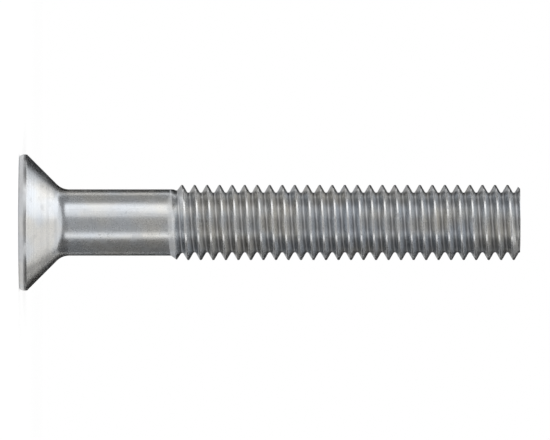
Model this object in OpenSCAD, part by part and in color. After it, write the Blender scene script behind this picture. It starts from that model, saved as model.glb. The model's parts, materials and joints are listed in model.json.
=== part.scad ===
// Countersunk machine screw with a cross recess and a partly threaded, reduced shank.
// It stands on its head: the flat face lies on z = 0 and the thread points up. Millimetres.

/* [Overall] */
// Length from the head's face to the tip
screw_len = 40; // [36:0.5:80]

/* [Thread] */
// Diameter over the thread's crests
thread_d = 6; // [5.4:0.1:8]
// Length of the full thread, measured from the tip
thread_len = 27.3; // [10:0.1:34]
// Length over which the thread fades into the shank
runout_len = 0.7; // [0.2:0.1:3]
// Height and depth of the chamfer at the tip
tip_chamfer = 0.3; // [0.1:0.05:1]

/* [Shank] */
// Diameter of the plain shank, close to the thread's pitch diameter as on a rolled blank
shank_d = 5.3; // [4.2:0.1:6]
// Radius of the fillet between the head's cone and the shank
neck_r = 1.4; // [0.2:0.1:2]

/* [Head] */
// Largest diameter of the head, at the edge between rim and cone before that edge is rounded
head_d = 10.9; // [8.6:0.1:16]
// Included angle of the countersunk cone
head_angle = 90; // [75:1:110]
// Height of the rim between the face and the cone
rim_h = 0.6; // [0.4:0.05:2]
// How far the rim narrows towards the face, on each side
rim_taper = 0.1; // [0:0.05:0.4]
// Radius of the rounded edge around the face
face_edge_r = 0.2; // [0.05:0.05:0.35]
// Radius of the rounded edge between rim and cone
rim_edge_r = 0.08; // [0.02:0.02:0.3]

/* [Cross recess] */
// Diameter across the wing ends, at the face
recess_d = 6.6; // [5:0.1:8]
// Diameter across the wing ends, where the floor begins
recess_floor_d = 3.8; // [2.6:0.1:5]
// Angle of the wing ends from the axis
wing_end_angle = 26.5; // [20:0.5:35]
// Width of a wing where the floor begins
wing_floor_w = 0.83; // [0.5:0.01:1.2]
// Angle of the wing sides from the axis
wing_side_angle = 5.75; // [2:0.25:10]
// Distance between opposite noses, at the face
nose_face_d = 2.5; // [2.1:0.05:3.2]
// Distance between opposite noses, where the floor begins
nose_floor_d = 2.05; // [1.4:0.05:2.5]
// Included angle of the blunt nose between two wings
nose_angle = 146; // [120:1:170]
// Slope of the conical floor from the face's plane
floor_angle = 28; // [10:1:40]

/* [Hidden] */

// Facets of a drawn circle, and straight steps in a rounded corner of the profile
$fn = 96;
arc_steps = 8;
// How far a cut reaches past the face that it opens
cut_past = 0.1;

head_r = head_d / 2;
face_r = head_r - rim_taper;
shank_r = shank_d / 2;
thread_r = thread_d / 2;
neck_z = rim_h + (head_r - shank_r) / tan(head_angle / 2);
thread_z = screw_len - thread_len;

recess_r = recess_d / 2;
floor_r = recess_floor_d / 2;
floor_z = (recess_r - floor_r) / tan(wing_end_angle);
recess_tip_z = floor_z + floor_r * tan(floor_angle);

function unit(v) = v / norm(v);

// Points of the arc that rounds the corner at b, between its neighbours a and c
function round_corner(a, b, c, radius) =
    let (
        to_a = unit(a - b),
        to_c = unit(c - b),
        half = acos(to_a * to_c) / 2,
        centre = b + unit(to_a + to_c) * radius / sin(half),
        start = b + to_a * radius / tan(half) - centre,
        end = b + to_c * radius / tan(half) - centre,
        sweep = atan2(start.x * end.y - start.y * end.x, start * end),
        from = atan2(start.y, start.x)
    )
    [for (i = [0:arc_steps]) let (t = from + sweep * i / arc_steps) centre + radius * [cos(t), sin(t)]];

// An outline from its corners, each given as [radius from the axis, height, rounding]
function outline(corners) = [
    for (i = [0:len(corners) - 1])
        let (here = corners[i], before = corners[max(i - 1, 0)], after = corners[min(i + 1, len(corners) - 1)])
        each here.z == 0
            ? [[here.x, here.y]]
            : round_corner([before.x, before.y], [here.x, here.y], [after.x, after.y], here.z)
];

// Half section of the solid screw, from the face's centre round to the tip's centre
module half_section() {
    polygon(outline([
        [0, 0, 0],
        [face_r, 0, face_edge_r],
        [head_r, rim_h, rim_edge_r],
        [shank_r, neck_z, neck_r],
        [shank_r, thread_z - runout_len, 0],
        [thread_r, thread_z, 0],
        [thread_r, screw_len - tip_chamfer, 0],
        [thread_r - tip_chamfer, screw_len, 0],
        [0, screw_len, 0]
    ]));
}

// Width of a wing at a depth below the face
function wing_w(z) = wing_floor_w + 2 * (floor_z - z) * tan(wing_side_angle);

// Distance between opposite noses at a depth below the face
function nose_d(z) = nose_face_d + (nose_floor_d - nose_face_d) * z / floor_z;

// One straight wing across the recess, narrowing with depth
module wing() {
    top_w = wing_w(-cut_past);
    deep_w = wing_w(recess_tip_z);
    rotate([90, 0, 90])
        linear_extrude(recess_d + 2 * cut_past, center = true)
            polygon([
                [-top_w / 2, -cut_past],
                [top_w / 2, -cut_past],
                [deep_w / 2, recess_tip_z],
                [-deep_w / 2, recess_tip_z]
            ]);
}

// The middle of the recess: a four-pointed star whose inner corners are the blunt noses
module star_core() {
    top_r = nose_d(-cut_past) / 2;
    deep_r = nose_d(recess_tip_z) / 2;
    // Two noses' flanks meet on the wing's middle line, half a quarter turn from each nose
    point_r = top_r * sin(nose_angle / 2) / sin(nose_angle / 2 - 45);
    translate([0, 0, -cut_past])
        linear_extrude(recess_tip_z + cut_past, scale = deep_r / top_r)
            polygon([
                for (quarter = [0:3])
                    each [
                        point_r * [cos(90 * quarter), sin(90 * quarter)],
                        top_r * [cos(90 * quarter + 45), sin(90 * quarter + 45)]
                    ]
            ]);
}

// The tapered hole that bounds the wing ends, closed by the conical floor
module recess_bound() {
    mouth_r = recess_r + cut_past * tan(wing_end_angle);
    rotate_extrude()
        polygon([[0, -cut_past], [mouth_r, -cut_past], [floor_r, floor_z], [0, recess_tip_z]]);
}

module cross_recess() {
    intersection() {
        recess_bound();
        union() {
            for (turn = [0, 90])
                rotate(turn)
                    wing();
            star_core();
        }
    }
}

module screw() {
    color([0.78, 0.79, 0.81])
        difference() {
            rotate_extrude()
                half_section();
            cross_recess();
        }
}

screw();
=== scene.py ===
# %% [markdown]
# # A countersunk screw with a rolled thread
#
# The object is one piece of steel wire: its head was struck in a die, its thread was rolled between two
# plates, and then it was zinc plated. The packed solid has the true sizes, the head and the cross recess,
# but its thread is a plain cylinder. This lesson models the whole screw again as one closed mesh with a
# real helix, gives it its plated finish, and sets it in a white studio.
#
# ## The packed solid
#
# Loading the frame gives the part's record and its solid. The solid's box is kept, because the finished
# screw must have the same size.

# %% Load the packed solid
import json
import math

import bmesh
import bpy
from mathutils import Matrix, Vector


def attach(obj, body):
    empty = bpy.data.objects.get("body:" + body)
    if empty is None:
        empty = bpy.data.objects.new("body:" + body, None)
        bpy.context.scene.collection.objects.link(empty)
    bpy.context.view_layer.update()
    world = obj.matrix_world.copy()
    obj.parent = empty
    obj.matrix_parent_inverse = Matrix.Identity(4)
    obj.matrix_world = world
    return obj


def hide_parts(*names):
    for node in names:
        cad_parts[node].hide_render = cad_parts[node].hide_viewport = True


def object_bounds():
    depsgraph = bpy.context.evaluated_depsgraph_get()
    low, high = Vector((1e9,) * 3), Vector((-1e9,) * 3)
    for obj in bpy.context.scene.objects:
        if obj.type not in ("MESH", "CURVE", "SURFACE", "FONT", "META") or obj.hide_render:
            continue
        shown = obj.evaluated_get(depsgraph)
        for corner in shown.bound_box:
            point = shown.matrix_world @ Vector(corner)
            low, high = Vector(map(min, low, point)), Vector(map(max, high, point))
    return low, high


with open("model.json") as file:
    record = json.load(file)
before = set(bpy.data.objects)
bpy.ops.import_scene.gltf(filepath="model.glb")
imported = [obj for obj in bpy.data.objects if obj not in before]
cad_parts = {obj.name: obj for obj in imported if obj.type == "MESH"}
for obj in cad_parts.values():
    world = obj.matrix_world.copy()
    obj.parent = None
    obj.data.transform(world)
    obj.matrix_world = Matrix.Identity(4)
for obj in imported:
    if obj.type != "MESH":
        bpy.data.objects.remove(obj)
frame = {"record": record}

cad_low, cad_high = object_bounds()
print("solid box, metres:", tuple(cad_low), tuple(cad_high))

# %% [markdown]
# ## Sizes
#
# A screw this small is easier to model in millimetres, because Blender's tools count a tenth of a
# millimetre as nothing when the unit is a metre. So every size below is in millimetres, and the finished
# mesh is scaled to metres once, at the end. What the record knows, such as the thread's radius and where it
# runs, is read from it.

# %% Sizes of thread and shank, in millimetres
MM = 0.001
thread_mount = next(mount for mount in frame["record"]["mounts"] if mount["name"] == "thread")
thread_mid_z = thread_mount["pos_m"][2] / MM
thread_half = thread_mount["dims"]["length_mm"] / 2

crest_r = thread_mount["dims"]["r_mm"]
thread_z = thread_mid_z - thread_half
chamfer_z = thread_mid_z + thread_half
tip_z = cad_high.z / MM
pitch = 1.0
shank_r = 2.65
runout_h = 0.7
runout_z = thread_z - runout_h
print(f"run-out starts at {runout_z:.2f} mm, full thread at {thread_z:.2f} mm")
print(f"chamfer starts at {chamfer_z:.2f} mm, tip is at {tip_z:.2f} mm")

# %% [markdown]
# ## Drawing and selecting
#
# A turned or rolled thing is drawn as a line first and swept afterwards. By hand one adds a plane, merges
# it into a single point, and extrudes that point from corner to corner. A bevel could round the corners
# later, but a bevel has one radius for all that is selected, and each corner here has its own. So a small
# function works out the arc of each corner, and the point is extruded along it. Another one picks parts of
# a mesh by their place, as a click would by hand.

# %% Rounded outlines
ARC_STEPS = 6


def rounded(corners):
    """Points of an outline with corners (across, along, rounding). A rounding of 0 is sharp."""
    points = []
    for i, (across, along, radius) in enumerate(corners):
        here = Vector((across, along))
        if radius == 0:
            points.append(here)
            continue
        to_last = (Vector(corners[i - 1][:2]) - here).normalized()
        to_next = (Vector(corners[(i + 1) % len(corners)][:2]) - here).normalized()
        half = to_last.angle(to_next) / 2
        centre = here + (to_last + to_next).normalized() * radius / math.sin(half)
        start = here + to_last * radius / math.tan(half) - centre
        end = here + to_next * radius / math.tan(half) - centre
        sweep = math.atan2(start.x * end.y - start.y * end.x, start.dot(end))
        first = math.atan2(start.y, start.x)
        for step in range(ARC_STEPS + 1):
            turn = first + sweep * step / ARC_STEPS
            points.append(centre + radius * Vector((math.cos(turn), math.sin(turn))))
    return points


print("a rounded corner takes", len(rounded([(0, 0, 0), (1, 0, 0.2), (1, 1, 0)])) - 2, "points")

# %% Drawing a line, and selecting by place
SELECT_MODES = {"verts": "VERT", "edges": "EDGE", "faces": "FACE"}


def draw(name, points):
    """A new piece, left in edit mode, with one line of edges through the points."""
    bpy.ops.object.select_all(action="DESELECT")
    bpy.ops.mesh.primitive_plane_add(size=1)
    piece = bpy.context.object
    piece.name = name
    bpy.ops.object.mode_set(mode="EDIT")
    bpy.ops.mesh.select_mode(type="VERT")
    bpy.ops.mesh.select_all(action="SELECT")
    bpy.ops.mesh.merge(type="CENTER")
    bpy.ops.transform.translate(value=points[0])
    for here, there in zip(points, points[1:]):
        bpy.ops.mesh.extrude_vertices_move(TRANSFORM_OT_translate={"value": there - here})
    return piece


def select(piece, kind, wanted):
    """In edit mode, selects only the verts, edges or faces that are wanted, and counts them."""
    bpy.ops.mesh.select_mode(type=SELECT_MODES[kind])
    bpy.ops.mesh.select_all(action="DESELECT")
    mesh = bmesh.from_edit_mesh(piece.data)
    chosen = [element for element in getattr(mesh, kind) if wanted(element)]
    for element in chosen:
        element.select_set(True)
    mesh.select_flush_mode()
    bmesh.update_edit_mesh(piece.data)
    return len(chosen)


print("can select", ", ".join(SELECT_MODES))

# %% [markdown]
# ## Head and shank
#
# The blank was headed in a round die, so everything but the recess is a body of revolution. A cylinder and
# a cone could be stacked and bevelled, but the edges between them would be hard to keep at their own radii.
# One outline, from the flat ring of the face round the rim, down the cone and up the shank, is spun once
# round the axis. The die leaves the rim free, so it bulges a little and is widest near the middle of its
# height.

# %% Spin the head and shank
AROUND = 96
WELD = 0.0005
head_r = 5.45
rim_h = 0.6
rim_taper = 0.1
face_round = 0.2
rim_round = 0.08
rim_bulge_z = 0.34
rim_bulge_round = 0.5
rim_lean = 0.02
neck_z = rim_h + head_r - shank_r
neck_round = 1.4
face_ring_r = 4.7
seam_below_runout = 0.5
shank_top_z = runout_z - seam_below_runout

head_outline = rounded([
    (face_ring_r, 0, 0),
    (head_r - rim_taper, 0, face_round),
    (head_r, rim_bulge_z, rim_bulge_round),
    (head_r - rim_lean, rim_h + rim_lean, rim_round),
    (shank_r, neck_z, neck_round),
    (shank_r, shank_top_z, 0),
])
screw = draw("threaded_screw", [Vector((r, 0, z)) for r, z in head_outline])
bpy.ops.mesh.select_all(action="SELECT")
bpy.ops.mesh.spin(steps=AROUND, angle=2 * math.pi, center=(0, 0, 0), axis=(0, 0, 1))
bpy.ops.mesh.select_all(action="SELECT")
bpy.ops.mesh.remove_doubles(threshold=WELD)
bpy.ops.object.mode_set(mode="OBJECT")
print("head and shank:", len(screw.data.polygons), "faces")

# %% [markdown]
# ## Thread
#
# A metric thread is a groove of 60 degrees with a rounded root, wound up the shank at one millimetre a
# turn. One pitch of the outline, from the middle of one crest to the middle of the next, goes through the
# Screw modifier, which is exact and gives long rows of even faces. A boolean with a helical cutter would do
# it too, but it leaves uneven faces along every crest.

# %% Wind the thread
crest_half = pitch / 16
crest_round = 0.03
root_round = 0.144 * pitch
valley_r = crest_r - (pitch / 2 - crest_half) * math.sqrt(3)
root_r = valley_r + root_round
winding_z = runout_z - 1.5 * pitch
turns = math.ceil((tip_z - winding_z) / pitch) + 1

groove = rounded([
    (crest_r, 0, 0),
    (crest_r, crest_half, crest_round),
    (valley_r, pitch / 2, root_round),
    (crest_r, pitch - crest_half, crest_round),
    (crest_r, pitch, 0),
])
helix = draw("helix", [Vector((r, 0, winding_z + z)) for r, z in groove])
bpy.ops.object.mode_set(mode="OBJECT")
bpy.ops.object.modifier_add(type="SCREW")
winding = helix.modifiers[-1]
winding.axis = "Z"
winding.angle = 2 * math.pi
winding.screw_offset = pitch
winding.iterations = turns
winding.steps = AROUND
winding.render_steps = AROUND
bpy.ops.object.modifier_apply(modifier=winding.name)
bpy.ops.object.mode_set(mode="EDIT")
bpy.ops.mesh.select_all(action="SELECT")
bpy.ops.mesh.remove_doubles(threshold=WELD)
bpy.ops.object.mode_set(mode="OBJECT")
print(f"{turns} turns, root radius {root_r:.3f} mm,", len(helix.data.polygons), "faces")

# %% [markdown]
# ## Run-out
#
# The dies leave the metal gradually: over the last turn the groove gets shallower and the crest sinks,
# until both meet the plain shank. Proportional editing by hand would do this roughly. Here every point of
# the helix keeps its share of the way between root and crest, while root and crest themselves close in on
# the shank's radius. Both ends are then cut level.

# %% Fade the thread into the shank
root_fade = 1.4 * pitch
overlength = 0.5
bridge_gap = 0.3


def ease(share):
    """A smooth step from 0 to 1."""
    share = min(max(share, 0.0), 1.0)
    return share * share * (3 - 2 * share)


for point in helix.data.vertices:
    rise = point.co.z - runout_z
    crest_here = shank_r + (crest_r - shank_r) * ease(rise / (thread_z - runout_z))
    root_here = shank_r + (root_r - shank_r) * ease(rise / root_fade)
    radius = math.hypot(point.co.x, point.co.y)
    share = (radius - root_r) / (crest_r - root_r)
    point.co.xy *= (root_here + share * (crest_here - root_here)) / radius

bpy.ops.object.mode_set(mode="EDIT")
bpy.ops.mesh.select_all(action="SELECT")
bpy.ops.mesh.bisect(plane_co=(0, 0, shank_top_z + bridge_gap), plane_no=(0, 0, 1), clear_inner=True)
bpy.ops.mesh.select_all(action="SELECT")
bpy.ops.mesh.bisect(
    plane_co=(0, 0, tip_z + overlength), plane_no=(0, 0, 1), clear_outer=True, use_fill=True)
bpy.ops.object.mode_set(mode="OBJECT")
print("helix cut at both ends:", len(helix.data.polygons), "faces")

# %% [markdown]
# ## Cross recess
#
# A four-winged punch sinks the recess: its wings narrow with depth, their ends taper towards the axis, and
# blunt noses stand between them. A boolean with a model of the punch is one way. Here the recess is drawn
# on the face as an outline and extruded into the head ring by ring, because that gives its mouth the small
# rolled edge that a punch leaves. The first step is a function for the outline at any depth.

# %% Outline of the recess at a depth
recess_r = 3.3
floor_r = 1.9
wing_end = math.radians(26.5)
wing_side = math.radians(5.75)
wing_floor_w = 0.83
wing_corner_round = 0.08
wing_root_round = 0.2
nose_face_r = 1.25
nose_floor_r = 1.025
nose_half = math.radians(146 / 2)
nose_round = 0.3
floor_z = (recess_r - floor_r) / math.tan(wing_end)


def cross_outline(depth, spread=0.0):
    """The recess's outline at a depth below the face, moved outwards all round by spread."""
    half_w = wing_floor_w / 2 + (floor_z - depth) * math.tan(wing_side) + spread
    end_r = recess_r - depth * math.tan(wing_end) + spread
    nose_r = nose_face_r + (nose_floor_r - nose_face_r) * depth / floor_z
    nose_r += spread / math.sin(nose_half)
    flare = 1 / math.tan(nose_half)
    # Along the diagonal, where a nose's flank meets the side of the wing
    meet = (nose_r - math.sqrt(2) * half_w * flare) / (1 - flare)
    meet_x = math.sqrt(2) * meet - half_w
    corner_x = math.sqrt(end_r ** 2 - half_w ** 2)
    end_turns = [share * math.asin(half_w / end_r) for share in (-0.5, 0, 0.5)]
    wing = [
        (meet_x, -half_w, wing_root_round),
        (corner_x, -half_w, wing_corner_round),
        *[(end_r * math.cos(turn), end_r * math.sin(turn), 0) for turn in end_turns],
        (corner_x, half_w, wing_corner_round),
        (meet_x, half_w, wing_root_round),
        (nose_r / math.sqrt(2), nose_r / math.sqrt(2), nose_round),
    ]
    corners = []
    for quarter in range(4):
        turn = Matrix.Rotation(quarter * math.pi / 2, 2)
        corners += [(*(turn @ Vector(corner[:2])), corner[2]) for corner in wing]
    return rounded(corners)


print(len(cross_outline(0)), "points round the recess")
print(f"the wing ends reach {floor_z:.2f} mm deep")

# %% [markdown]
# ## Foot of the recess
#
# The floor of the recess is a flat cone, so its edge isn't level: it lies deeper between the wings than at
# their ends. A boolean with a cone would find that edge, but leaves uneven faces along it. Here the edge is
# worked out for every point of the outline, so that all rings of the recess have the same points. How deep
# such a point lies depends on how far out it is, and that on its depth, because the walls lean. So one is
# worked out from the other a few times, until both settle.

# %% Outline at the foot of the walls
SETTLE_STEPS = 6
floor_slope = math.tan(math.radians(28))


def floor_ring(up=0.0, inwards=0.0):
    """The edge between walls and floor, moved up the walls or inwards along the floor."""
    ring = []
    for i in range(len(cross_outline(0))):
        depth = floor_z
        for _ in range(SETTLE_STEPS):
            point = cross_outline(depth)[i]
            depth = floor_z + (floor_r - point.length) * floor_slope
        if up:
            point = cross_outline(depth - up)[i]
        point = point * (1 - inwards / point.length)
        ring.append(Vector((*point, depth - up + inwards * floor_slope)))
    return ring


print("the floor is a cone", round(floor_r * floor_slope, 2), "mm high")

# %% [markdown]
# ## Sinking the recess
#
# The outline on the face is filled and extruded once for each ring: five rings round the rolled edge of the
# mouth, one at the foot of the wall, two round the corner to the floor. Poking the last face makes the cone
# of the floor, and its point is a little blunt, as the punch's is.

# %% Rings of the recess
mouth_round = 0.07
mouth_steps = 4
face_margin = 0.3
corner_round = 0.12
corner_mid = corner_round / 4

rings = [[Vector((*point, 0)) for point in cross_outline(0, face_margin)]]
for step in range(mouth_steps + 1):
    turn = math.pi / 2 * step / mouth_steps
    depth = mouth_round * (1 - math.cos(turn))
    spread = mouth_round * (1 - math.sin(turn))
    rings.append([Vector((*point, depth)) for point in cross_outline(depth, spread)])
rings.append(floor_ring(up=corner_round))
rings.append(floor_ring(up=corner_mid, inwards=corner_mid))
rings.append(floor_ring(inwards=corner_round))
print(len(rings), "rings, the first on the face round the mouth")

# %% Sink the recess ring by ring
floor_blunt = 0.03

recess = draw("recess", rings[0])
bpy.ops.mesh.select_all(action="SELECT")
bpy.ops.mesh.edge_face_add()
for last, ring in zip(rings, rings[1:]):
    bpy.ops.mesh.extrude_region_move(TRANSFORM_OT_translate={"value": (0, 0, 0)})
    mesh = bmesh.from_edit_mesh(recess.data)
    for point in [vert for vert in mesh.verts if vert.select]:
        index = min(range(len(last)), key=lambda i: (last[i] - point.co).length_squared)
        point.co = ring[index]
    bmesh.update_edit_mesh(recess.data)
bpy.ops.mesh.poke()
mesh = bmesh.from_edit_mesh(recess.data)
deepest = min(mesh.verts, key=lambda vert: vert.co.xy.length)
deepest.co = (0, 0, floor_z + floor_r * floor_slope - floor_blunt)
bmesh.update_edit_mesh(recess.data)
print("the recess is", round(deepest.co.z, 2), "mm deep")
# The face that the outline was filled with would close the mouth
select(recess, "faces", lambda face: len(face.verts) > 4)
bpy.ops.mesh.delete(type="ONLY_FACE")
bpy.ops.object.mode_set(mode="OBJECT")
print("recess:", len(recess.data.polygons), "faces")

# %% [markdown]
# ## One closed mesh
#
# Head, recess and helix could stay three shells that overlap, but a real screw has no seams, and a closed
# mesh also exports cleanly. So they are joined into one piece. The flat face is filled between its outer
# ring and the recess, and the helix is bridged to the shank.

# %% Join and close
bpy.ops.object.select_all(action="DESELECT")
for piece in (recess, helix, screw):
    piece.select_set(True)
bpy.context.view_layer.objects.active = screw
bpy.ops.object.join()
bpy.ops.object.mode_set(mode="EDIT")


def is_open_at(low, high):
    """A test for open edges that lie between two heights."""
    margin = 0.01

    def wanted(edge):
        return edge.is_boundary and all(low - margin < v.co.z < high + margin for v in edge.verts)

    return wanted


open_face = select(screw, "edges", is_open_at(0, 0))
bpy.ops.mesh.fill(use_beauty=True)
open_shank = select(screw, "edges", is_open_at(shank_top_z, shank_top_z + bridge_gap))
bpy.ops.mesh.bridge_edge_loops()
bpy.ops.mesh.select_all(action="SELECT")
bpy.ops.mesh.normals_make_consistent(inside=False)
still_open = select(screw, "edges", lambda edge: not edge.is_manifold)
bpy.ops.object.mode_set(mode="OBJECT")
print("closed", open_face, "edges at the face and", open_shank, "at the shank")
print("still open:", still_open)

# %% [markdown]
# ## Tip
#
# The end of the blank is pointed with a small chamfer before rolling, and rolling leaves a shallow dish in
# the end, because the skin flows further than the core. The end could be bisected and bevelled, but its
# edge runs in and out of the groove, where a bevel tangles. So a cutter is made: a cylinder with that shape
# pressed into its underside by insets and moves. A boolean then trims the overlong helix, so the groove
# runs out through the chamfer. It leaves some pairs of points that all but coincide, and these are merged.

# %% A cutter for the tip
chamfer = tip_z - chamfer_z
cutter_r = crest_r + 0.6
cone_past = 0.1
dish_r = 2.0
dish_depth = 0.09
dish_steps = 4
cutter_low_z = chamfer_z - cone_past
cutter_high_z = tip_z + 1.5

bpy.ops.object.select_all(action="DESELECT")
bpy.ops.mesh.primitive_cylinder_add(
    vertices=AROUND, radius=cutter_r, depth=cutter_high_z - cutter_low_z,
    location=(0, 0, (cutter_high_z + cutter_low_z) / 2))
cutter = bpy.context.object
cutter.name = "tip_cutter"
bpy.ops.object.transform_apply(location=True, rotation=True, scale=True)
bpy.ops.object.mode_set(mode="EDIT")
select(cutter, "faces", lambda face: face.normal.z < -0.99)
bpy.ops.mesh.inset(thickness=cutter_r - crest_r - cone_past)
bpy.ops.mesh.extrude_region_move(TRANSFORM_OT_translate={"value": (0, 0, chamfer + cone_past)})
shrink = (crest_r - chamfer) / (crest_r + cone_past)
bpy.ops.transform.resize(value=(shrink, shrink, 1), center_override=(0, 0, tip_z))
bpy.ops.mesh.inset(thickness=crest_r - chamfer - dish_r)
for step in range(1, dish_steps):
    outer = 1 - (step - 1) / dish_steps
    inner = 1 - step / dish_steps
    bpy.ops.mesh.inset(thickness=dish_r / dish_steps)
    bpy.ops.transform.translate(value=(0, 0, -dish_depth * (outer ** 2 - inner ** 2)))
bpy.ops.object.mode_set(mode="OBJECT")
print("tip cutter:", len(cutter.data.polygons), "faces")

# %% Trim the tip
bpy.ops.object.select_all(action="DESELECT")
screw.select_set(True)
bpy.context.view_layer.objects.active = screw
bpy.ops.object.modifier_add(type="BOOLEAN")
trim = screw.modifiers[-1]
trim.operation = "DIFFERENCE"
trim.solver = "EXACT"
trim.object = cutter
bpy.ops.object.modifier_apply(modifier=trim.name)
bpy.data.objects.remove(cutter, do_unlink=True)

bpy.ops.object.mode_set(mode="EDIT")
bpy.ops.mesh.select_all(action="SELECT")
bpy.ops.mesh.remove_doubles(threshold=WELD)
bpy.ops.mesh.dissolve_degenerate(threshold=WELD)
still_open = select(screw, "edges", lambda edge: not edge.is_manifold)
bpy.ops.object.mode_set(mode="OBJECT")
highest = max(point.co.z for point in screw.data.vertices)
print(f"trimmed at {highest:.3f} mm,", len(screw.data.polygons), "faces; still open:", still_open)

# %% [markdown]
# ## From millimetres to metres
#
# The object is scaled and the scale is applied to its mesh, so the object ends at the origin, unturned and
# unscaled. Scaling the mesh in edit mode looks the same, but it adds a long way to every point instead of
# multiplying it, and that loses some microns. Faces that meet at a small angle are shaded as one curve. The
# screw then rides on the packed body and stands for the packed node.

# %% Scale, smooth and place
SMOOTH_BELOW = math.radians(32)

screw.scale = (MM, MM, MM)
bpy.ops.object.transform_apply(location=True, rotation=True, scale=True)
bpy.ops.object.shade_smooth_by_angle(angle=SMOOTH_BELOW)
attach(screw, "root")
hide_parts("screw")
screw.data.calc_loop_triangles()
size = [round(side / MM, 3) for side in screw.dimensions]
print(len(screw.data.loop_triangles), "triangles, size in mm:", size)

# %% [markdown]
# ## Shader arithmetic
#
# A finish is easier to read as sums and products than as a picture of nodes. One small class wraps a
# socket: an expression on it adds Math nodes, and one method adds any other node.

# %% A class for shader sockets
class Wire:
    """A socket in a node tree. Arithmetic on it adds Math nodes, and node() adds any other node."""

    def __init__(self, tree, socket=None):
        self.tree = tree
        self.socket = socket

    def node(self, kind, settings=None, inputs=None, output=0):
        """A new node with its settings and inputs, as a wire from one of its outputs."""
        made = self.tree.nodes.new(kind)
        for name, value in (settings or {}).items():
            setattr(made, name, value)
        for name, value in (inputs or {}).items():
            self.plug(value, made.inputs[name])
        return Wire(self.tree, made.outputs[output] if len(made.outputs) else None)

    def plug(self, value, socket):
        """Links a wire to a socket, or sets a plain value on it."""
        if isinstance(value, Wire):
            self.tree.links.new(value.socket, socket)
        else:
            socket.default_value = value

    def other(self, output):
        """Another output of the node that this wire comes from."""
        return Wire(self.tree, self.socket.node.outputs[output])

    def math(self, operation, *others):
        """A Math node on this wire and any others."""
        inputs = dict(enumerate((self, *others)))
        return self.node("ShaderNodeMath", {"operation": operation}, inputs)

    def __add__(self, other):
        return self.math("ADD", other)

    def __mul__(self, other):
        return self.math("MULTIPLY", other)

    def __sub__(self, other):
        return self.math("SUBTRACT", other)

    def __rsub__(self, other):
        return self * -1 + other

    __radd__ = __add__
    __rmul__ = __mul__

    def between(self, low, high):
        """0 below low, 1 above high, and a smooth step in between."""
        settings = {"interpolation_type": "SMOOTHSTEP"}
        inputs = {"Value": self, "From Min": low, "From Max": high}
        return self.node("ShaderNodeMapRange", settings, inputs)

    def mix(self, first, second):
        """A colour from first to second as this wire goes from 0 to 1."""
        # Of a Mix node's many sockets, 6 and 7 take colours, and output 2 gives one
        inputs = {0: self, 6: first, 7: second}
        return self.node("ShaderNodeMix", {"data_type": "RGBA"}, inputs, 2)


methods = [name for name in vars(Wire) if callable(getattr(Wire, name))]
print("the class has", len(methods), "methods")

# %% [markdown]
# ## Where a point lies on the screw
#
# Every zone of the screw was made by a different tool, so each has its own marks. Masks for the zones could
# be painted by hand, but on a turned part they follow from two numbers: how far a point is from the axis,
# and how high it is. Object coordinates give both, and a third number says how far along the groove's
# section it lies.

# %% Zones of the screw
zinc = bpy.data.materials.new("bright_zinc_plate")
zinc.use_nodes = True
shader = zinc.node_tree.nodes["Principled BSDF"]
plate = Wire(zinc.node_tree)

place = plate.node(
    "ShaderNodeVectorMath", {"operation": "SCALE"},
    {0: plate.node("ShaderNodeTexCoord", output="Object"), "Scale": 1 / MM})
x = plate.node("ShaderNodeSeparateXYZ", None, {0: place})
y = x.other("Y")
z = x.other("Z")
radius = (x * x + y * y).math("SQRT")
turn_share = y.math("ARCTAN2", x) * (0.5 / math.pi)
groove_share = (z * (1 / pitch) - turn_share).math("FRACT")

on_head = 1 - z.between(neck_z - 0.2, neck_z + 0.8)
on_thread = z.between(runout_z, thread_z + 0.3)
on_shank = (1 - on_head) * (1 - on_thread)
flat_end_r = crest_r - chamfer
on_end = z.between(tip_z - 0.14, tip_z - 0.1) * (1 - radius.between(flat_end_r - 0.1, flat_end_r))
recess_edge = radius + z * math.tan(wing_end)
in_recess = z.between(0.02, 0.25) * (1 - recess_edge.between(recess_r + 0.02, recess_r + 0.12))
crest = on_thread * radius.between(crest_r - 0.09, crest_r - 0.03)
root = on_thread * (1 - on_end) * (1 - radius.between(root_r + 0.02, root_r + 0.3))
rim_edge = radius.between(head_r - 0.14, head_r - 0.04)
on_rim = radius.between(head_r - 0.25, head_r - 0.15) * (1 - z.between(rim_h - 0.08, rim_h))
print("zones:", len(zinc.node_tree.nodes), "nodes")

# %% [markdown]
# ## Marks of making and of handling
#
# The wire was drawn through a die, so the shank has fine lines along it. The head was struck in a round die
# and has faint rings, its rim flowed freely and is uneven, the thread has lines that follow the groove, and
# the end was sheared. Over that lies the plating: a fine grain, a film that is duller in patches, and the
# nicks and scratches that screws give each other in the box. A painted texture could show all this, but the
# screw would have to be unwrapped for it, and it would blur close up. So each mark is a noise with its
# coordinates stretched the way the mark runs.

# %% Noise, stretched noise and scratches
SCRATCH_STRETCH = (7.0, 7.0, 0.12)


def noise(vector, scale, detail, roughness=0.5):
    """A noise from 0 to 1, in layers of finer and finer detail."""
    inputs = {"Vector": vector, "Scale": scale, "Detail": detail, "Roughness": roughness}
    return plate.node("ShaderNodeTexNoise", None, inputs)


def stretched(x_part, y_part, z_part):
    """Coordinates for a noise: the smaller a part's factor, the longer the marks run that way."""
    return plate.node("ShaderNodeCombineXYZ", None, {"X": x_part, "Y": y_part, "Z": z_part})


def scratches(axis, tilt):
    """Thin lines that run along the direction that axis and tilt give."""
    settings = {"rotation_type": "AXIS_ANGLE"}
    turning = {"Vector": place, "Axis": axis, "Angle": tilt}
    turned = plate.node("ShaderNodeVectorRotate", settings, turning)
    thinning = {0: turned, 1: SCRATCH_STRETCH}
    thinned = plate.node("ShaderNodeVectorMath", {"operation": "MULTIPLY"}, thinning)
    return noise(thinned, 1.0, 0.0).between(0.74, 0.80)


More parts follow.
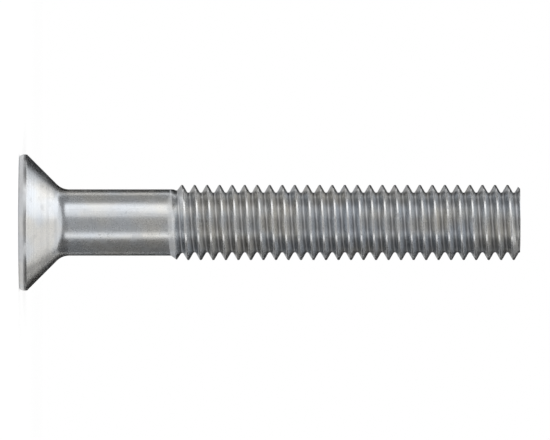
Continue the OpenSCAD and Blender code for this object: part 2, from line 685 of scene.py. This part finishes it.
print("a scratch is about", round(SCRATCH_STRETCH[0] / SCRATCH_STRETCH[2]), "times as long as wide")

# %% Lines, grain, film and nicks
grain = noise(place, 14.0, 2.0)
cloud = noise(place, 0.32, 2.0)
film = noise(place, 1.2, 4.0, 0.7).between(0.5, 0.75)
drawn_lines = noise(stretched(x * 3.4, y * 3.4, z * 0.1), 1.0, 4.0, 0.65)
die_lines = noise(stretched(radius * 5.5, z * 5.5, cloud * 0.8), 1.0, 4.0, 0.65)
rolled_lines = noise(stretched(groove_share * 9, radius * 9, z * 0.25), 1.0, 4.0, 0.7)
sheared_lines = noise(stretched(x * 6, y * 0.5, 0.0), 1.0, 3.0, 0.6)
free_metal = noise(place, 2.4, 3.0, 0.6)
thread_lines = on_end * sheared_lines + (1 - on_end) * rolled_lines
lines = drawn_lines * on_shank + die_lines * on_head + thread_lines * on_thread
nicks = noise(place, 1.2, 2.0).between(0.66, 0.71) * (crest + rim_edge)
rubbed = (1 - on_thread) * noise(place, 0.7, 1.0).between(0.45, 0.65)
scratch = scratches((1, 0, 0), 0.5) + scratches((0, 1, 0), 0.9) + scratches((1, 1, 0), -0.8)
scratch = scratch * rubbed
print("marks:", len(zinc.node_tree.nodes), "nodes so far")

# %% [markdown]
# ## Zinc plate
#
# Bright zinc is a cool silver whose thin clear film shifts a little between blue and straw. Its colour is
# painted darker in the roots of the thread and in the recess, as painted shade for those hollows, and it is
# rougher there. Round the rim, where the die left the metal free, it is duller and greyer. It is burnished
# on the crests and on the edge of the head. One colour with one gloss would be quicker, but plating is
# never so even. Colour, gloss and relief all come from the same marks, so that a streak that is darker is
# also rougher and stands out a little.

# %% Colour, gloss and relief
SILVER_COOL = (0.625, 0.655, 0.69, 1)
SILVER_STRAW = (0.685, 0.675, 0.645, 1)
LINE_GREY = (0.40, 0.41, 0.43, 1)
FILM_GREY = (0.50, 0.51, 0.52, 1)
WORN_BRIGHT = (0.84, 0.84, 0.835, 1)
# Grey of the painted shade in the thread's roots and the recess, and of the duller metal round the rim
SHADE_AND_DULL_GREY = (0.34, 0.34, 0.345, 1)

# Painted shade: the thread's roots and the recess are painted darker; round the rim the metal is duller
shade_and_dull = root * 0.4 + in_recess * 0.5 + on_rim * 0.4
colour = cloud.between(0.36, 0.64).mix(SILVER_COOL, SILVER_STRAW)
colour = (lines.between(0.42, 0.68) * 0.32).mix(colour, LINE_GREY)
colour = (film * 0.3).mix(colour, FILM_GREY)
colour = (on_rim * free_metal.between(0.45, 0.65) * 0.35).mix(colour, LINE_GREY)
colour = (crest * 0.5 + rim_edge * 0.3).mix(colour, WORN_BRIGHT)
colour = shade_and_dull.mix(colour, SHADE_AND_DULL_GREY)
colour = (nicks * 0.6 + scratch * 0.25).mix(colour, LINE_GREY)
gloss = 0.18 + lines * 0.12 + grain * 0.05 + film * 0.1 + shade_and_dull * 0.15 + scratch * 0.08
relief = lines * (0.0026 + on_thread * 0.003) + grain * 0.0005 + on_rim * free_metal * 0.012
height = relief - nicks * 0.015 - scratch * 0.001
bump = plate.node("ShaderNodeBump", None, {"Height": height, "Distance": MM, "Strength": 1.0})

plate.plug(colour, shader.inputs["Base Color"])
plate.plug(gloss, shader.inputs["Roughness"])
plate.plug(bump, shader.inputs["Normal"])
shader.inputs["Metallic"].default_value = 1.0
screw.data.materials.clear()
screw.data.materials.append(zinc)
print("zinc plate:", len(zinc.node_tree.nodes), "nodes")

# %% [markdown]
# ## Paper floor
#
# The screw stands on its head on white paper in a white room. A curved backdrop is the usual way, but the
# metal would mirror its bend. Here paper and room are as white to the camera, and to the metal that mirrors
# them, as the page of a catalogue, but they give less light than they seem to. Close to the screw the paper
# takes light and shadow like any other surface, and further away it fades into plain white, so that no edge
# of it shows. What the lamps and the room leave of the white, the paper glows itself.

# %% A sheet of paper
FLOOR_SIDE = 1.2
# Just under the screw's face, so that the two never fill the same place
FLOOR_Z = -0.00002

bpy.ops.object.select_all(action="DESELECT")
bpy.ops.mesh.primitive_plane_add(size=FLOOR_SIDE, location=(0, 0, FLOOR_Z))
floor = bpy.context.object
floor.name = "floor"
print("floor at", floor.location.z, "metres")

# %% White paper
FADE_FROM = 0.05
FADE_TO = 0.14
LIT_SHARE = 0.8
LIT_PAPER = 0.78
PAPER_GREY = 0.85


def seen_directly(wire):
    """1 for what the camera sees, also in a mirror or through glass, and 0 for what only lights."""
    path = wire.node("ShaderNodeLightPath", output="Is Camera Ray")
    rays = path + path.other("Is Glossy Ray") + path.other("Is Transmission Ray")
    return rays.math("MINIMUM", 1.0)


paper = bpy.data.materials.new("white_paper")
paper.use_nodes = True
paper.node_tree.nodes.clear()
sheet = Wire(paper.node_tree)
corner = sheet.node("ShaderNodeTexCoord", output="Object")
spread = sheet.node("ShaderNodeVectorMath", {"operation": "LENGTH"}, {0: corner}, "Value")
lit = LIT_SHARE * (1 - spread.between(FADE_FROM, FADE_TO))
seen = seen_directly(sheet)
glow = seen * (1 - lit * LIT_PAPER)
level = PAPER_GREY * (1 - seen * (1 - lit))
grey = sheet.node("ShaderNodeCombineColor", None, {"Red": level, "Green": level, "Blue": level})
surface = sheet.node("ShaderNodeAddShader", None, {
    0: sheet.node("ShaderNodeBsdfDiffuse", None, {"Color": grey}),
    1: sheet.node("ShaderNodeEmission", None, {"Strength": glow}),
})
sheet.node("ShaderNodeOutputMaterial", None, {"Surface": surface})
floor.data.materials.append(paper)
print("white paper:", len(paper.node_tree.nodes), "nodes")

# %% [markdown]
# ## White room
#
# A picture of a studio could light the scene, but a plain colour does the same here: the world is white to
# the camera and to the metal, and gives the rest of the scene only a part of that light, so that the lamps
# can still cast a shadow.

# %% White room
ROOM_LIGHT = 0.5
world = bpy.data.worlds.new("white_room")
bpy.context.scene.world = world
world.use_nodes = True
world.node_tree.nodes.clear()
room = Wire(world.node_tree)
strength = ROOM_LIGHT + seen_directly(room) * (1 - ROOM_LIGHT)
background = room.node("ShaderNodeBackground", None, {"Color": (1, 1, 1, 1), "Strength": strength})
room.node("ShaderNodeOutputWorld", None, {"Surface": background})
print("the room gives", ROOM_LIGHT, "of the light that it seems to")

# %% [markdown]
# ## Cards
#
# Polished metal has no look of its own: it shows what stands round it, and in a room that is white all
# round a cylinder looks flat. A picture of a studio could stand in for one, but it would have to be loaded,
# and nothing in it could be moved. Photographers set dark and grey cards about, out of the picture, and a
# card is only a line of four corners, filled. Cards and floor are separate pieces, not part of the screw.

# %% A card
CARD_DISTANCE = 0.16


def set_card(name, corners, tone):
    """A flat card through four corners. Only what mirrors can see it."""
    card = draw(name, corners)
    bpy.ops.mesh.select_all(action="SELECT")
    bpy.ops.mesh.edge_face_add()
    bpy.ops.object.mode_set(mode="OBJECT")
    card.visible_camera = False
    card.visible_shadow = False
    card.visible_diffuse = False
    board = bpy.data.materials.new(name)
    board.use_nodes = True
    board_shader = board.node_tree.nodes["Principled BSDF"]
    board_shader.inputs["Base Color"].default_value = (tone, tone, tone, 1)
    board_shader.inputs["Roughness"].default_value = 1.0
    board_shader.inputs["Specular IOR Level"].default_value = 0.0
    card.data.materials.append(board)
    print(name, "of tone", round(tone, 2))


print("cards stand", CARD_DISTANCE, "metres from the screw's axis")

# %% [markdown]
# ## Where the cards stand
#
# A dark card behind the screw, with a paler one over it, draws a dark line along both of its edges. A grey
# one below it in the picture shades that side, one above it marks the other, and a pale one round the
# camera dims the middle. Two small ones hang in the gaps and keep the flat end from burning out. Seen from
# higher up, a shank mirrors the floor, so each card that stands there has a paler foot, which lies along
# the floor towards the screw. Lamps alone could shape the metal too, but they only add light, and it is the
# dark parts that show its roundness. Between the cards the white room and the soft boxes show as bright
# bands.

# %% Cards and their feet
FOOT_START = 0.009
# Between the floor and the screw's face
FOOT_Z = FLOOR_Z / 2
FOOT_PALER = 0.45

for name, bearing, half_angle, low, high, tone in (
    ("card_behind", 186, 50, 0.0, 0.13, 0.02),
    ("card_behind_high", 180, 42, 0.13, 0.30, 0.22),
    ("card_below", 95, 38, 0.0, 0.20, 0.14),
    ("card_beside", 8, 28, 0.0, 0.16, 0.48),
    ("card_above", -92, 22, 0.0, 0.20, 0.35),
    ("card_over_key", -45, 25, 0.075, 0.17, 0.50),
    ("card_over_fill", 46, 13, 0.075, 0.17, 0.45),
):
    turn = math.radians(bearing)
    half_width = CARD_DISTANCE * math.tan(math.radians(half_angle))
    ahead = Vector((math.sin(turn), -math.cos(turn), 0)) * CARD_DISTANCE
    aside = Vector((math.cos(turn), math.sin(turn), 0)) * half_width
    left = ahead - aside
    right = ahead + aside
    bottom = Vector((0, 0, low))
    top = Vector((0, 0, high))
    set_card(name, [left + bottom, right + bottom, right + top, left + top], tone)
    if low == 0:
        near = FOOT_START / CARD_DISTANCE
        ground = Vector((0, 0, FOOT_Z))
        foot = [left * near + ground, right * near + ground, right + ground, left + ground]
        set_card(name + "_foot", foot, FOOT_PALER + (1 - FOOT_PALER) * tone)

# %% [markdown]
# ## Lamps
#
# A tall soft box lights the screw from the side that is up in the picture, a narrow one puts a thin light
# into the shaded side, and a broad one hangs overhead, which is what the cone of the head and the upper
# flanks of the thread mirror. Each only adds a little to the white behind it, so the metal doesn't burn
# out. The last lamp stands in front and high up. It casts the shadow on the paper, and the metal doesn't
# mirror it.

# %% Soft boxes
aim = Vector((0, 0, 0.5 * (cad_low.z + cad_high.z)))
for name, lamp_at, wide, tall, brightness, mirrored in (
    ("key", (-0.24, -0.19, 0.10), 0.13, 0.34, 0.6, True),
    ("fill", (0.20, -0.21, 0.06), 0.05, 0.30, 0.5, True),
    ("top", (-0.14, 0.05, 0.34), 0.15, 0.26, 0.6, True),
    ("front", (0.0, -0.60, 0.84), 0.28, 0.28, 21.0, False),
):
    lamp = bpy.data.lights.new(name, "AREA")
    lamp.shape = "RECTANGLE"
    lamp.size = wide
    lamp.size_y = tall
    lamp.energy = brightness * math.pi * wide * tall
    holder = bpy.data.objects.new(name, lamp)
    bpy.context.scene.collection.objects.link(holder)
    holder.location = lamp_at
    holder.rotation_euler = (Vector(lamp_at) - aim).to_track_quat("Z", "Y").to_euler()
    holder.visible_camera = False
    holder.visible_glossy = mirrored
    print(f"{name} lamp of {lamp.energy:.2f} watts")

# %% [markdown]
# ## Camera
#
# The drawing is a plain side view with the head on the left, so the camera looks along +Y from far away
# with a long lens, and is rolled until the screw's axis lies level. Its distance and aim follow from where
# the drawing has the head's face, the tip and the axis.

# %% Camera at the drawing's viewing angle
FRAME_W, FRAME_H = 550, 440
FACE_PX, TIP_PX, AXIS_PX = 19.4, 520.0, 222.5
pixels_per_metre = (TIP_PX - FACE_PX) / (cad_high.z - cad_low.z)
lens = bpy.data.cameras.new("camera")
lens.sensor_width = 36
lens.lens = 1000
camera = bpy.data.objects.new("camera", lens)
bpy.context.scene.collection.objects.link(camera)
distance = FRAME_W / pixels_per_metre * lens.lens / lens.sensor_width
right = Vector((0, 0, 1))
up = Vector((-1, 0, 0))
back = Vector((0, -1, 0))
middle = (right * (FRAME_W / 2 - FACE_PX) + up * (AXIS_PX - FRAME_H / 2)) / pixels_per_metre
turned = Matrix((right, up, back)).transposed().to_4x4()
camera.matrix_world = Matrix.Translation(middle + back * distance) @ turned
bpy.context.scene.camera = camera
print(f"camera {distance:.3f} m away, {pixels_per_metre * MM:.2f} pixels per mm")

# %% [markdown]
# ## Closing
#
# Standard is the view transform that keeps colours as they are written.

# %% View settings and closing
bpy.context.scene.view_settings.view_transform = "Standard"
